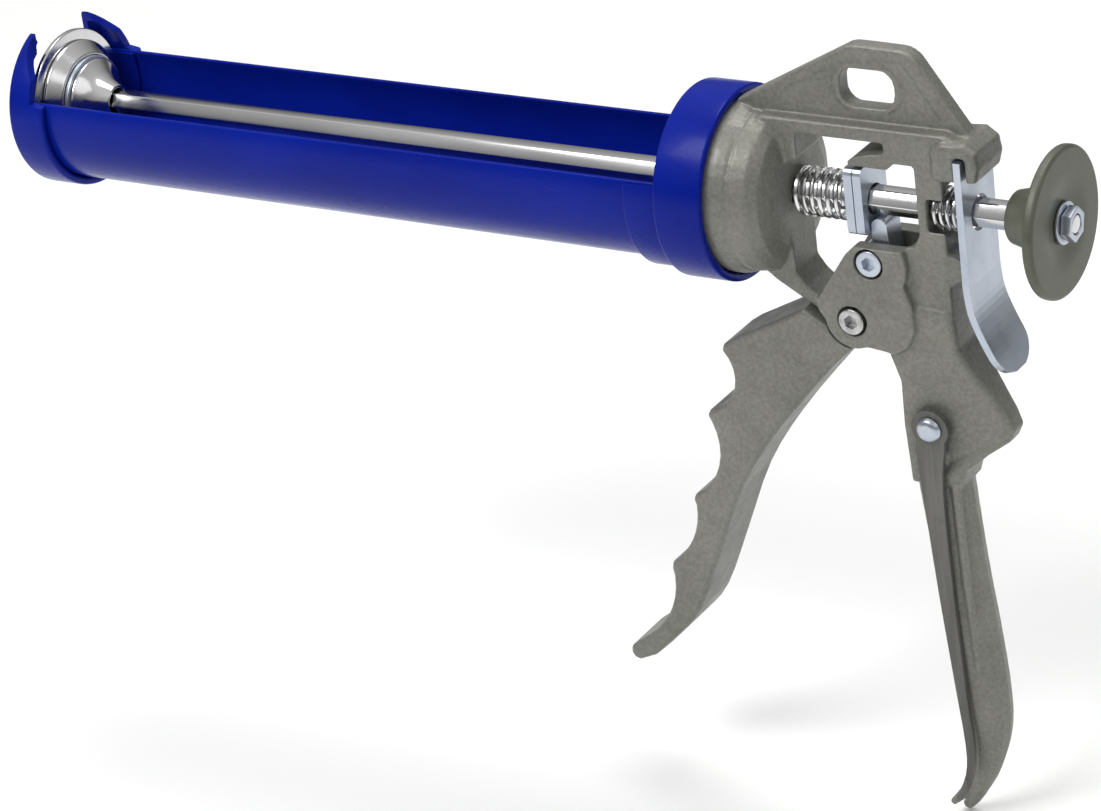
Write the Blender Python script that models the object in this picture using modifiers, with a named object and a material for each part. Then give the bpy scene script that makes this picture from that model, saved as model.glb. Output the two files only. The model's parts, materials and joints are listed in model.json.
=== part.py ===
"""Cartridge caulking gun with a rotating half-tube cradle and a cast pistol-grip frame.

Frame: metres, +Z up, +X from the muzzle towards the pull knob. The origin is on the rod's axis at the
front face of the piston, with the rod pushed fully forward. The gun is symmetric about Y = 0, apart from
the seal piercer, which folds along the -Y side of the handle.
"""
import math

import bmesh
import bpy
from mathutils import Matrix, Vector

MM = 0.001
GAP = 0.3                      # clearance kept between touching pieces, mm
TURNS = 40                     # sides of a large turned piece

# Driving dimensions, mm
TUBE_R = 26.5                  # cradle for a 310 ml cartridge of about 50 mm
TUBE_WALL = 1.2
CRADLE_EDGE_Z = 7.5            # height of the cradle's two long edges above the axis
CAP_R = 29.5
CAP_FRONT = -5.0
CAP_SKIRT_END = 9.0
COLLAR_R = 31.0
COLLAR_FRONT = 249.0
COLLAR_REAR = 265.5
BELL_R = 27.9
BELL_FRONT = 251.5
BELL_RECESS_END = 262.0
BELL_REAR = 283.5
PISTON_R = 23.5
ROD_FLATS = 8.0                # hexagonal rod, across the flats
ROD_BORE_R = 4.95
KNOB_R = 23.4
KNOB_REAR = 373.0
BODY_HALF = 7.5                # half thickness of the casting at its window
CHEEK_HALF = 10.5              # half thickness at the pivots, the same as the trigger's
SLOT_HALF = 5.3                # the slot between the cheeks
TONGUE_HALF = 4.6
REAR_WALL_X = 336.5
TRIGGER_PIVOT = (303.2, -37.5)
CAM_PIVOT = (310.6, -17.5)
HUB_R = 9.5
PLATE_FRONT = 303.5            # front face of the first drive plate
PLATE_THICK = 2.8
LEVER_X = 343.6
LEVER_HINGE_Z = 17.0
LEVER_THICK = 2.3
PIERCER_PIVOT = (327.0, -70.6)
PIERCER_Y = -9.2               # inner face of the piercer

# An exact turn that lays a piece made along X down along Y
ALONG_Y = Matrix(((0, -1, 0, 0), (1, 0, 0, 0), (0, 0, 1, 0), (0, 0, 0, 1)))

for old in list(bpy.data.objects):
    bpy.data.objects.remove(old, do_unlink=True)
parts = bpy.data.collections.new("caulking_gun")
cutters = bpy.data.collections.new("cutters")
for group in (parts, cutters):
    bpy.context.scene.collection.children.link(group)


# ---------------------------------------------------------------- materials
def material(name, colour, roughness, metallic):
    found = bpy.data.materials.get(name)
    if found:
        return found
    made = bpy.data.materials.new(name)
    made.use_nodes = True
    shader = made.node_tree.nodes["Principled BSDF"]
    shader.inputs["Base Color"].default_value = (*colour, 1.0)
    shader.inputs["Roughness"].default_value = roughness
    shader.inputs["Metallic"].default_value = metallic
    return made


BLUE = material("blue_enamel", (0.01, 0.03, 0.32), 0.25, 0.0)
CAST = material("grey_casting", (0.21, 0.21, 0.18), 0.45, 0.6)
ZINC = material("zinc_plate", (0.55, 0.62, 0.68), 0.3, 1.0)
STEEL = material("bright_steel", (0.72, 0.72, 0.74), 0.15, 1.0)
BLACK = material("black_screw", (0.18, 0.18, 0.19), 0.35, 1.0)
DULL = material("grey_steel", (0.17, 0.17, 0.15), 0.5, 0.5)
KNOB = material("knob_coating", (0.08, 0.085, 0.065), 0.5, 0.2)


# ---------------------------------------------------------------- shape helpers
def register(mesh, name, paint=None, smooth_angle=35.0):
    """Link a mesh as a part, or as a cutter where no paint is given."""
    thing = bpy.data.objects.new(name, mesh)
    if paint is None:
        cutters.objects.link(thing)
        thing.hide_render = True
        thing.display_type = "WIRE"
        return thing
    parts.objects.link(thing)
    mesh.materials.clear()
    mesh.materials.append(paint)
    mesh.shade_smooth()
    mesh.set_sharp_from_angle(angle=math.radians(smooth_angle))
    return thing


def quarter_turn(axis):
    """An exact 90 degree turn about the X or Y axis, so that flat faces stay exactly flat."""
    if axis == "X":
        return Matrix(((1, 0, 0, 0), (0, 0, -1, 0), (0, 1, 0, 0), (0, 0, 0, 1)))
    return Matrix(((0, 0, 1, 0), (0, 1, 0, 0), (-1, 0, 0, 0), (0, 0, 0, 1)))


def face_outward(shape):
    """Cut a closed bmesh into triangles that all point out of the solid."""
    bmesh.ops.triangulate(shape, faces=shape.faces)
    bmesh.ops.recalc_face_normals(shape, faces=shape.faces)
    if shape.calc_volume(signed=True) < 0.0:
        bmesh.ops.reverse_faces(shape, faces=shape.faces)


def baked_mesh(thing, name):
    """Evaluate an object with its modifiers into a welded mesh whose faces point out."""
    depsgraph = bpy.context.evaluated_depsgraph_get()
    depsgraph.update()
    mesh = bpy.data.meshes.new_from_object(thing.evaluated_get(depsgraph), depsgraph=depsgraph)
    mesh.transform(thing.matrix_world)
    mesh.name = name
    shape = bmesh.new()
    shape.from_mesh(mesh)
    bmesh.ops.remove_doubles(shape, verts=shape.verts, dist=0.00002)
    face_outward(shape)
    shape.to_mesh(mesh)
    shape.free()
    bpy.data.objects.remove(thing, do_unlink=True)
    return mesh


def circle(centre, radius, start=0.0, end=360.0, steps=24):
    """Points on an arc, in degrees; a full circle leaves its last point out."""
    full = abs(end - start) >= 360.0
    count = steps if full else steps + 1
    angles = [math.radians(start + (end - start) * i / steps) for i in range(count)]
    return [(centre[0] + radius * math.cos(a), centre[1] + radius * math.sin(a)) for a in angles]


def arc_through(first, middle, last, steps=8):
    """Points on the arc through three points, both ends included."""
    (ax, ay), (bx, by), (cx, cy) = first, middle, last
    det = 2.0 * (ax * (by - cy) + bx * (cy - ay) + cx * (ay - by))
    a2, b2, c2 = ax * ax + ay * ay, bx * bx + by * by, cx * cx + cy * cy
    ox = (a2 * (by - cy) + b2 * (cy - ay) + c2 * (ay - by)) / det
    oy = (a2 * (cx - bx) + b2 * (ax - cx) + c2 * (bx - ax)) / det
    radius = math.hypot(ax - ox, ay - oy)
    angles = [math.atan2(y - oy, x - ox) for x, y in (first, middle, last)]
    turn = 1.0 if det > 0 else -1.0
    sweep = (turn * (angles[2] - angles[0])) % (2.0 * math.pi)
    steps_at = [angles[0] + turn * sweep * i / steps for i in range(steps + 1)]
    return [(ox + radius * math.cos(a), oy + radius * math.sin(a)) for a in steps_at]


def smooth_line(points, per_span=4):
    """A Catmull-Rom line through the points, ends included; works in any dimension."""
    ends = [points[0]] + list(points) + [points[-1]]
    line = []
    for i in range(1, len(ends) - 2):
        p0, p1, p2, p3 = ends[i - 1:i + 3]
        for step in range(per_span):
            t = step / per_span
            line.append(tuple(
                0.5 * (2 * b + (c - a) * t + (2 * a - 5 * b + 4 * c - d) * t * t
                       + (3 * b - a - 3 * c + d) * t ** 3)
                for a, b, c, d in zip(p0, p1, p2, p3)))
    line.append(tuple(points[-1]))
    return line


def side_plate(name, outline, half, edge=0.0, holes=(), paint=None, centre_y=0.0):
    """An outline of (x, z) points, in mm, extruded along Y to both sides of centre_y."""
    curve = bpy.data.curves.new(name, "CURVE")
    curve.dimensions = "2D"
    curve.fill_mode = "BOTH"
    for loop in (outline, *holes):
        spline = curve.splines.new("POLY")
        spline.points.add(len(loop) - 1)
        for point, (x, z) in zip(spline.points, loop):
            point.co = (x * MM, z * MM, 0.0, 1.0)
        spline.use_cyclic_u = True
    curve.extrude = (half - edge) * MM
    curve.bevel_depth = edge * MM
    curve.bevel_resolution = 1
    curve.offset = -edge * MM
    thing = bpy.data.objects.new(name, curve)
    cutters.objects.link(thing)
    thing.matrix_world = Matrix.Translation((0, centre_y * MM, 0)) @ quarter_turn("X")
    return register(baked_mesh(thing, name), name, paint)


def turned(name, profile, steps=TURNS, paint=None, sweep=360.0, start=0.0):
    """A profile of (x, r) points, in mm, turned about the X axis; closed unless it ends on the axis."""
    mesh = bpy.data.meshes.new(name)
    shape = bmesh.new()
    corners = [shape.verts.new((x * MM, 0.0, r * MM)) for x, r in profile]
    pairs = list(zip(corners, corners[1:]))
    if profile[0][1] > 0.0:
        pairs.append((corners[-1], corners[0]))
    for pair in pairs:
        shape.edges.new(pair)
    shape.to_mesh(mesh)
    shape.free()
    thing = bpy.data.objects.new(name, mesh)
    cutters.objects.link(thing)
    thing.rotation_euler = (math.radians(start), 0.0, 0.0)
    screw = thing.modifiers.new("turn", "SCREW")
    screw.axis = "X"
    screw.angle = math.radians(sweep)
    screw.steps = screw.render_steps = steps
    screw.use_merge_vertices = True
    screw.merge_threshold = 0.00001
    return register(baked_mesh(thing, name), name, paint)


def rod_along(name, axis, radius, low, high, at=(0.0, 0.0), steps=24, paint=None, phase=0.0):
    """A cylinder or prism along X, Y or Z, at the two other coordinates, all in mm."""
    mesh = bpy.data.meshes.new(name)
    shape = bmesh.new()
    bmesh.ops.create_cone(shape, cap_ends=True, segments=steps, radius1=radius * MM, radius2=radius * MM,
                          depth=(high - low) * MM, matrix=Matrix.Rotation(math.radians(phase), 4, "Z"))
    middle = (low + high) / 2.0
    turn = {"X": quarter_turn("Y"), "Y": quarter_turn("X"), "Z": Matrix.Identity(4)}[axis]
    place = {"X": (middle, at[0], at[1]), "Y": (at[0], middle, at[1]), "Z": (at[0], at[1], middle)}[axis]
    shape.transform(Matrix.Translation(Vector(place) * MM) @ turn)
    face_outward(shape)
    shape.to_mesh(mesh)
    shape.free()
    return register(mesh, name, paint)


def block(name, low, high, paint=None):
    """A box between two corners, in mm."""
    mesh = bpy.data.meshes.new(name)
    shape = bmesh.new()
    bmesh.ops.create_cube(shape, size=1.0)
    size = Vector(high) - Vector(low)
    middle = (Vector(high) + Vector(low)) / 2.0
    shape.transform(Matrix.Translation(middle * MM) @ Matrix.Diagonal((*(size * MM), 1.0)))
    shape.to_mesh(mesh)
    shape.free()
    return register(mesh, name, paint)


def tube_through(name, points, radii, paint=None, sides=3):
    """A round bar through (x, y, z) points, in mm, with a radius at each point."""
    curve = bpy.data.curves.new(name, "CURVE")
    curve.dimensions = "3D"
    curve.use_fill_caps = True
    curve.bevel_depth = MM
    curve.bevel_resolution = sides
    spline = curve.splines.new("POLY")
    spline.points.add(len(points) - 1)
    for point, place, radius in zip(spline.points, points, radii):
        point.co = (*(c * MM for c in place), 1.0)
        point.radius = radius
    thing = bpy.data.objects.new(name, curve)
    cutters.objects.link(thing)
    return register(baked_mesh(thing, name), name, paint)


def combine(target, others, operation):
    """Union with, or difference from, each of the other objects, in order."""
    for other in others:
        step = target.modifiers.new(other.name[:50], "BOOLEAN")
        step.operation = operation
        step.object = other
        step.solver = "EXACT"


def combine_all(target, group_name, others, operation):
    """The same as combine, with all the other objects worked in one step."""
    group = bpy.data.collections.new(group_name)
    cutters.children.link(group)
    for other in others:
        cutters.objects.unlink(other)
        group.objects.link(other)
    step = target.modifiers.new(group_name, "BOOLEAN")
    step.operation = operation
    step.operand_type = "COLLECTION"
    step.collection = group
    step.solver = "EXACT"


def set_origin(thing, x, y, z):
    """Move an object's origin onto its joint axis without moving its shape; mm."""
    place = Vector((x, y, z)) * MM
    thing.data.transform(Matrix.Translation(-place))
    thing.location = place


# ---------------------------------------------------------------- barrel
def make_cradle():
    inner = TUBE_R - TUBE_WALL
    tube = turned("cradle_tube", [(CAP_FRONT + 2.3, TUBE_R), (BELL_FRONT - 0.6, TUBE_R),
                                  (BELL_FRONT - 0.6, inner), (CAP_FRONT + 2.3, inner)], paint=BLUE)
    opening = block("cradle_opening", (-20.0, -40.0, CRADLE_EDGE_Z), (270.0, 40.0, 40.0))
    combine(tube, [opening], "DIFFERENCE")


def make_front_cap():
    skirt_in = TUBE_R + GAP
    lip_out = TUBE_R - TUBE_WALL - GAP
    back = CAP_FRONT + 2.0
    cap = turned("front_cap", [
        (CAP_FRONT, CAP_R - 1.5), (CAP_FRONT + 1.5, CAP_R), (CAP_SKIRT_END, CAP_R), (CAP_SKIRT_END, skirt_in),
        (back, skirt_in), (back, lip_out), (CAP_SKIRT_END, lip_out), (CAP_SKIRT_END, lip_out - 0.8),
        (back, lip_out - 0.8), (back, 22.5), (CAP_FRONT, 22.5)], paint=BLUE)
    horn_line = [(9.2, CRADLE_EDGE_Z), (4.2, 8.4), (3.8, 15.5), (1.2, 19.0), (-0.8, 22.5), (-2.2, 25.0), (-2.4, 40.0),
                 (20.0, 40.0), (20.0, CRADLE_EDGE_Z)]
    horn_trim = side_plate("horn_trim", horn_line, 40.0)
    nozzle_slot = block("nozzle_slot", (-20.0, -11.5, 0.0), (20.0, 16.5, 40.0))
    lip_trim = rod_along("lip_trim", "X", 26.0, back + 0.2, 20.0, steps=72)
    combine(lip_trim, [block("lip_keep", (-30.0, -40.0, -40.0), (30.0, 40.0, CRADLE_EDGE_Z - 0.2))], "DIFFERENCE")
    combine(cap, [horn_trim, lip_trim, nozzle_slot], "DIFFERENCE")


def make_collar():
    inner = BELL_R + GAP
    sleeve_in = TUBE_R + GAP
    groove = (255.7, 258.3)
    collar = turned("barrel_collar", [
        (237.0, 28.8), (COLLAR_FRONT, 28.8), (COLLAR_FRONT, COLLAR_R - 0.8), (COLLAR_FRONT + 0.8, COLLAR_R),
        (COLLAR_REAR - 0.8, COLLAR_R), (COLLAR_REAR, COLLAR_R - 0.8), (COLLAR_REAR, inner),
        (groove[1], inner), (groove[1], 29.3), (groove[0], 29.3), (groove[0], inner),
        (250.6, inner), (250.6, sleeve_in), (237.0, sleeve_in)], paint=BLUE)
    saddle_opening = block("saddle_opening", (230.0, -40.0, CRADLE_EDGE_Z), (COLLAR_FRONT, 40.0, 40.0))
    combine(collar, [saddle_opening], "DIFFERENCE")


def make_snap_ring():
    points = [(257.0, y, z) for y, z in circle((0.0, 0.0), 28.0, 95.0, 445.0, 40)]
    tube_through("barrel_snap_ring", points, [0.7] * len(points), STEEL, sides=1)


# ---------------------------------------------------------------- frame casting
def screw_hole(name, at, seat):
    """A cutter for a screw along Y with a recess for its head, whose seat is at y = -seat."""
    cutter = turned(name, [(-14.0, 0.0), (-14.0, 5.0), (-seat, 5.0), (-seat, 3.0 + GAP), (13.0, 3.0 + GAP),
                           (13.0, 0.0)], 28)
    cutter.data.transform(Matrix.Translation((at[0] * MM, 0, at[1] * MM)) @ ALONG_Y)
    return cutter


def make_casting():
    cx, cz = CAM_PIVOT
    tx, tz = TRIGGER_PIVOT
    body_outline = [
        (264.6, -22.0), (264.6, 21.0), (276.5, 26.5), (338.0, 26.5), (343.5, 24.0), (347.5, 21.0), (348.2, 12.8), (REAR_WALL_X, 12.8),
        (REAR_WALL_X, -44.0), (306.0, -44.0), (294.3, -38.8), (287.0, -34.8),
        (276.0, -28.4), (268.0, -22.0)]
    window = [
        (287.5, 22.0), (317.6, 22.0), (317.6, 18.4), (312.0, 17.6), (307.0, 16.2), (304.9, 14.7),
        (305.3, 13.3), (318.0, 13.2), (320.5, 15.5), (327.4, 15.5), (327.4, -7.0), (325.4, -11.0),
        (321.0, -12.0), (306.0, -12.0), (302.7, -15.2), (298.1, -22.1), (292.2, -31.0), (290.0, -31.6),
        (286.5, -29.0), (283.3, -24.5), (283.3, 11.5), (287.5, 13.5)]
    casting = side_plate("frame_casting", body_outline, BODY_HALF, 0.8, paint=CAST)
    stop_lug = side_plate("stop_lug", [(334.0, -11.0), (341.0, -14.5), (341.0, -20.5), (334.0, -24.0)], 6.9)

    bell = turned("bell", [
        (BELL_RECESS_END, 0.0), (BELL_RECESS_END, 24.2), (BELL_FRONT, 24.2), (BELL_FRONT, BELL_R), (256.0, BELL_R), (256.0, 26.9), (258.0, 26.9), (258.0, BELL_R),
        (268.0, BELL_R), (271.2, 27.0), (272.0, 26.2), (272.8, 26.7), (278.0, 25.4), (281.0, 22.4),
        (282.8, 17.5), (BELL_REAR, 12.0), (BELL_REAR, 0.0)])
    hang_outline = [(266.0, 22.0), (266.0, 29.0), (274.0, 33.3), *arc_through(
        (304.2, 49.6), (306.0, 50.5), (308.0, 50.8), 3), *arc_through(
        (323.0, 50.6), (326.5, 49.6), (329.0, 47.4), 4), (345.4, 23.9), (343.0, 20.0)]
    slot_low, slot_high = (302.3, 31.0), (320.7, 43.4)
    r = 4.8
    hang_hole = [
        *circle((slot_high[0] - r, slot_high[1] - r), r, 0, 90, 5),
        *circle((slot_low[0] + r, slot_high[1] - r), r, 90, 180, 5),
        *circle((slot_low[0] + r, slot_low[1] + r), r, 180, 270, 5),
        *circle((slot_high[0] - r, slot_low[1] + r), r, 270, 360, 5)]
    pocket = [(283.0, 29.5), (283.0, 34.2), (306.8, 46.6), (324.0, 46.4), (335.5, 29.5)]
    hang_web = side_plate("hang_web", [(x, z - 0.2) for x, z in hang_outline], 2.5)
    hang_frame = side_plate("hang_frame", hang_outline, 3.0, 0.6, [pocket])
    rib = [(x, z) for x, z in circle(((slot_low[0] + slot_high[0]) / 2, 37.0), 1.0, steps=28)]
    rib = [(311.5 + (x - 311.5) * 11.9, 37.2 + (z - 37.0) * 8.9) for x, z in rib]
    hole_rim = side_plate("hang_hole_rim", rib, 3.1, 0.4)
    hang_hole_cut = side_plate("hang_hole", hang_hole, 9.0)
    window_cut = side_plate("window", window, 14.0)

    hood = side_plate("hood", [
        (334.0, 13.0), (334.0, 22.5), (337.5, 24.6), (345.0, 25.2), (349.0, 22.4), (349.8, 17.5),
        (348.4, 12.8), (337.0, 12.2)], 9.3, 1.5)
    cheek_outline = [
        (305.0, -8.5), (300.0, -12.5), (296.0, -20.5), (291.2, -28.5), (291.4, -35.0),
        *circle(TRIGGER_PIVOT, HUB_R, 186, 296, 14), (312.2, -46.4), (317.0, -47.2), (321.5, -44.6), (324.6, -38.5),
        (324.4, -30.0), *circle(CAM_PIVOT, 12.9, -28, 22, 5), (320.0, -8.5)]
    side_thick = (CHEEK_HALF - 3.7) / 2.0
    side_centre = (CHEEK_HALF + 3.7) / 2.0
    cheeks = [side_plate(f"cheek_{side}", cheek_outline, side_thick, 0.7, centre_y=sign * side_centre)
              for side, sign in (("near", -1), ("far", 1))]
    neck_front = [(311.0, -40.0), (314.0, -49.5), (316.6, -57.0), (316.4, -72.0), (317.6, -92.0)]
    neck_rear = [(334.4, -92.0), (336.2, -86.5), (343.0, -80.3), (350.5, -75.0), (352.6, -70.8),
                 (350.8, -66.4), (343.5, -54.5), (337.4, -43.5), (REAR_WALL_X - 0.2, -30.0)]
    neck = side_plate("neck", neck_front + neck_rear + [(325.0, -30.0)], 8.6, 2.0)
    for vertex in neck.data.vertices:
        towards_tip = min(1.0, max(0.0, (vertex.co.x / MM - 334.0) / 19.0))
        vertex.co.y *= 1.0 - 0.6 * towards_tip

    grip_path = smooth_line([
        (325.8, 0, -80, 8.9), (325.8, 0, -92, 8.9), (328.5, 0, -122, 8.5), (331.2, 0, -148, 8.6),
        (332.9, 0, -169, 8.5), (333.2, 0, -182, 7.6), (331.2, 0, -195, 5.4), (328.4, 0, -203.5, 3.6),
        (325.6, 0, -209.5, 2.5), (322.8, 0, -213.2, 1.7)])
    grip = tube_through("grip", [p[:3] for p in grip_path], [p[3] for p in grip_path], sides=4)

    combine_all(casting, "casting_solids", [
        stop_lug, bell, hang_web, hang_frame, hole_rim, hood, *cheeks, neck, grip], "UNION")

    slot = side_plate("trigger_slot", [
        (299.0, -13.0), (299.0, -3.0), (323.5, -3.0), (323.5, -30.0), (319.0, -39.0), (312.5, -46.0),
        (310.0, -62.0), (284.0, -62.0), (284.0, -42.0), (294.3, -40.6), (294.3, -33.0), (296.5, -26.0)],
        SLOT_HALF)
    rod_bore = rod_along("rod_bore", "X", ROD_BORE_R, 255.0, 352.0)
    hub_pocket = turned("hub_pocket", [
        (BELL_RECESS_END - 2.0, 0.0), (BELL_RECESS_END - 2.0, 17.0), (BELL_RECESS_END + 0.5, 17.0),
        (BELL_RECESS_END + 11.0, 11.5), (BELL_RECESS_END + 11.0, 0.0)])
    spring_pocket = rod_along("release_spring_pocket", "X", 8.9, 330.5, REAR_WALL_X + 1.0, steps=28)
    lever_slot = block("lever_slot", (LEVER_X - 1.9, -12.0, 8.0), (LEVER_X + 1.9, 12.0, 20.6))
    holes = [screw_hole("trigger_screw_hole", TRIGGER_PIVOT, 7.9), screw_hole("cam_screw_hole", CAM_PIVOT, 6.9)]
    holes.append(rod_along("rivet_hole", "Y", 2.2 + GAP, -14.0, 14.0, PIERCER_PIVOT))
    combine_all(casting, "casting_cuts", [
        window_cut, slot, rod_bore, hub_pocket, spring_pocket, lever_slot, hang_hole_cut, *holes], "DIFFERENCE")


# ---------------------------------------------------------------- fasteners
def make_socket_screw(name, at, head_out, head_height):
    """A socket-head screw along Y whose head lies on the -Y side, its top at y = -head_out."""
    x, z = at
    top, seat = -head_out, -head_out + head_height
    profile = [(top, 0.0), (top, 3.9), (top + 0.4, 4.3), (seat, 4.3), (seat, 3.0), (9.6, 3.0),
               (10.1, 2.5), (10.1, 0.0)]
    screw = turned(name, profile, 24, BLACK if name.startswith("trigger") else ZINC)
    screw.data.transform(Matrix.Translation((x * MM, 0, z * MM)) @ ALONG_Y)
    socket = rod_along(f"{name}_socket", "Y", 2.3, top - 1.0, top + 2.0, at, 6, phase=10.0)
    combine(screw, [socket], "DIFFERENCE")


def make_rivet():
    px, pz = PIERCER_PIVOT
    outer = PIERCER_Y - 1.6 - GAP
    profile = [(outer - 1.9, 0.0), (outer - 1.8, 1.6), (outer - 1.3, 3.0), (outer - 0.5, 3.9),
               (outer, 4.1), (outer, 2.2), (8.6 + GAP, 2.2), (8.6 + GAP, 3.6), (9.5, 3.2), (10.0, 0.0)]
    rivet = turned("piercer_rivet", profile, 24, ZINC)
    rivet.data.transform(Matrix.Translation((px * MM, 0, pz * MM)) @ ALONG_Y)


# ---------------------------------------------------------------- push rod and piston
def make_rod_group():
    rod = rod_along("push_rod", "X", ROD_FLATS / math.sqrt(3.0), 11.0, 371.0, steps=6, paint=STEEL, phase=0.0)
    front_tenon = rod_along("rod_front_tenon", "X", 3.0, 0.0, 12.0)
    rear_tenon = rod_along("rod_rear_tenon", "X", 2.9, 368.0, 376.4)
    combine(rod, [front_tenon, rear_tenon], "UNION")
    knob_step = rod_along("rod_rear_step", "X", 3.4, 366.0, 380.0)
    knob_step_outer = rod_along("rod_rear_step_outer", "X", 9.0, 367.0, 380.0)
    combine(knob_step_outer, [knob_step], "DIFFERENCE")
    combine(rod, [knob_step_outer], "DIFFERENCE")

    bore = 3.0 + GAP
    turned("piston_plate", [(0.0, PISTON_R - 0.6), (0.6, PISTON_R), (1.8, PISTON_R), (1.8, bore), (0.0, bore)],
           paint=STEEL)
    turned("piston_cup", [
        (2.1, 19.8), (3.2, 19.8), (4.4, 18.4), (7.2, 15.7), (7.2, bore), (2.1, bore)], paint=STEEL)
    turned("piston_washer", [(7.5, 14.9), (8.9, 14.9), (8.9, bore), (7.5, bore)], 32, ZINC)
    hub_bore = ROD_FLATS / math.sqrt(3.0) + GAP
    turned("piston_hub", [(9.2, 13.9), (10.0, 13.8), (12.5, 10.0), (15.5, 7.4), (19.0, 5.7), (19.0, hub_bore), (10.7, hub_bore),
                          (10.7, bore), (9.2, bore)], 32, STEEL)


def make_knob_group():
    bore = ROD_FLATS / math.sqrt(3.0) + GAP
    turned("knob", [
        (356.0, 6.9), (357.0, 8.2), (361.0, 9.3), (365.5, 11.4), (368.4, 15.2), (369.2, 19.0),
        (369.3, KNOB_R - 1.2), (370.2, KNOB_R), (372.0, KNOB_R), (KNOB_REAR, KNOB_R - 1.2),
        (KNOB_REAR, 12.0), (372.0, 9.5), (372.0, 3.4 + GAP), (371.3, 3.4 + GAP), (371.3, bore),
        (356.0, bore)], 48, KNOB)
    turned("knob_washer", [(372.3, 6.6), (373.2, 6.6), (373.2, 3.2), (372.3, 3.2)], 28, ZINC)
    nut = rod_along("knob_nut", "X", 5.6, 373.5, 376.6, steps=6, paint=ZINC, phase=15.0)
    combine(nut, [rod_along("knob_nut_bore", "X", 2.9 + GAP, 370.0, 380.0)], "DIFFERENCE")


# ---------------------------------------------------------------- trigger and drive
def make_trigger():
    tx, tz = TRIGGER_PIVOT
    outline = [
        (293.0, -40.1), (286.2, -36.0), (259.5, -50.0), (255.6, -52.6),
        *arc_through((254.9, -54.6), (258.2, -66.0), (247.9, -76.9)), (246.9, -78.6),
        *arc_through((248.0, -81.0), (249.8, -92.0), (238.6, -108.9)), (238.0, -110.6),
        *arc_through((238.6, -112.6), (237.2, -122.0), (227.0, -135.6)), (226.5, -138.0),
        *arc_through((227.0, -140.6), (225.3, -151.0), (216.6, -163.6), 6), (211.5, -167.6),
        *arc_through((208.4, -169.8), (206.4, -173.4), (209.6, -176.0), 4),
        *smooth_line([(216.0, -173.0), (226.0, -163.5), (235.5, -152.0), (245.5, -129.5),
                      (257.0, -103.0), (271.5, -81.5), (291.0, -58.5), (302.2, -47.2)], 3)]
    trigger = side_plate("trigger", outline, CHEEK_HALF, 1.3, paint=CAST)
    shoulder = rod_along("trigger_shoulder", "Y", HUB_R + 0.4, -20.0, 20.0, TRIGGER_PIVOT, 40)
    toe = (tx + 13.5 * math.cos(math.radians(25)), tz + 13.5 * math.sin(math.radians(25)))
    tongue = side_plate("trigger_tongue", [
        *circle(TRIGGER_PIVOT, 8.0, 60, 165, 8), (294.8, -40.8), (291.0, -43.2), (288.0, -46.0),
        (297.0, -52.5), (301.6, -47.8), *circle(TRIGGER_PIVOT, 8.0, -80, -15, 5),
        *circle(toe, 2.2, -60, 110, 6)], TONGUE_HALF)
    bore = rod_along("trigger_bore", "Y", 3.0 + GAP, -20.0, 20.0, TRIGGER_PIVOT)
    combine(trigger, [shoulder], "DIFFERENCE")
    combine(trigger, [tongue], "UNION")
    combine(trigger, [bore], "DIFFERENCE")
    set_origin(trigger, tx, 0.0, tz)


def make_cam():
    cx, cz = CAM_PIVOT
    nose = (cx + 1.7, cz + 10.2)
    heel = [(cx + dx, cz + dz) for dx, dz in ((-3.9, -3.5), (5.4, -11.1), (7.2, -11.2), (7.7, -9.6), (5.2, -1.0))]
    outline = [*circle(nose, 2.6, 5, 190, 10), *circle(CAM_PIVOT, 5.2, 100, 215, 8), *heel]
    cam = side_plate("drive_cam", outline, TONGUE_HALF - 0.2, paint=ZINC)
    bore = rod_along("cam_bore", "Y", 3.0 + GAP, -20.0, 20.0, CAM_PIVOT)
    combine(cam, [bore], "DIFFERENCE")
    set_origin(cam, cx, 0.0, cz)


def make_drive_plates():
    for number in range(2):
        low = PLATE_FRONT + number * (PLATE_THICK + GAP)
        name = ("drive_plate_front", "drive_plate_rear")[number]
        plate = block(name, (low, -8.0, -9.5), (low + PLATE_THICK, 8.0, 12.4), ZINC)
        bevel = plate.modifiers.new("round_corners", "BEVEL")
        bevel.width = 2.0 * MM
        bevel.segments = 3
        bevel.limit_method = "WEIGHT"
        weights = plate.data.attributes.new("bevel_weight_edge", "FLOAT", "EDGE")
        for edge in plate.data.edges:
            first, second = (plate.data.vertices[i].co for i in edge.vertices)
            weights.data[edge.index].value = 1.0 if abs(first.x - second.x) > MM else 0.0
        combine(plate, [rod_along(f"{name}_hole", "X", ROD_BORE_R, low - 2.0, low + 6.0)], "DIFFERENCE")


def coil(name, start, end, radius, wire, turns):
    steps = int(turns * 14)
    points = []
    for i in range(steps + 1):
        angle = 2.0 * math.pi * turns * i / steps
        x = start + wire + (end - start - 2.0 * wire) * i / steps
        points.append((x, radius * math.cos(angle), radius * math.sin(angle)))
    tube_through(name, points, [wire] * len(points), STEEL, sides=1)


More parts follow.
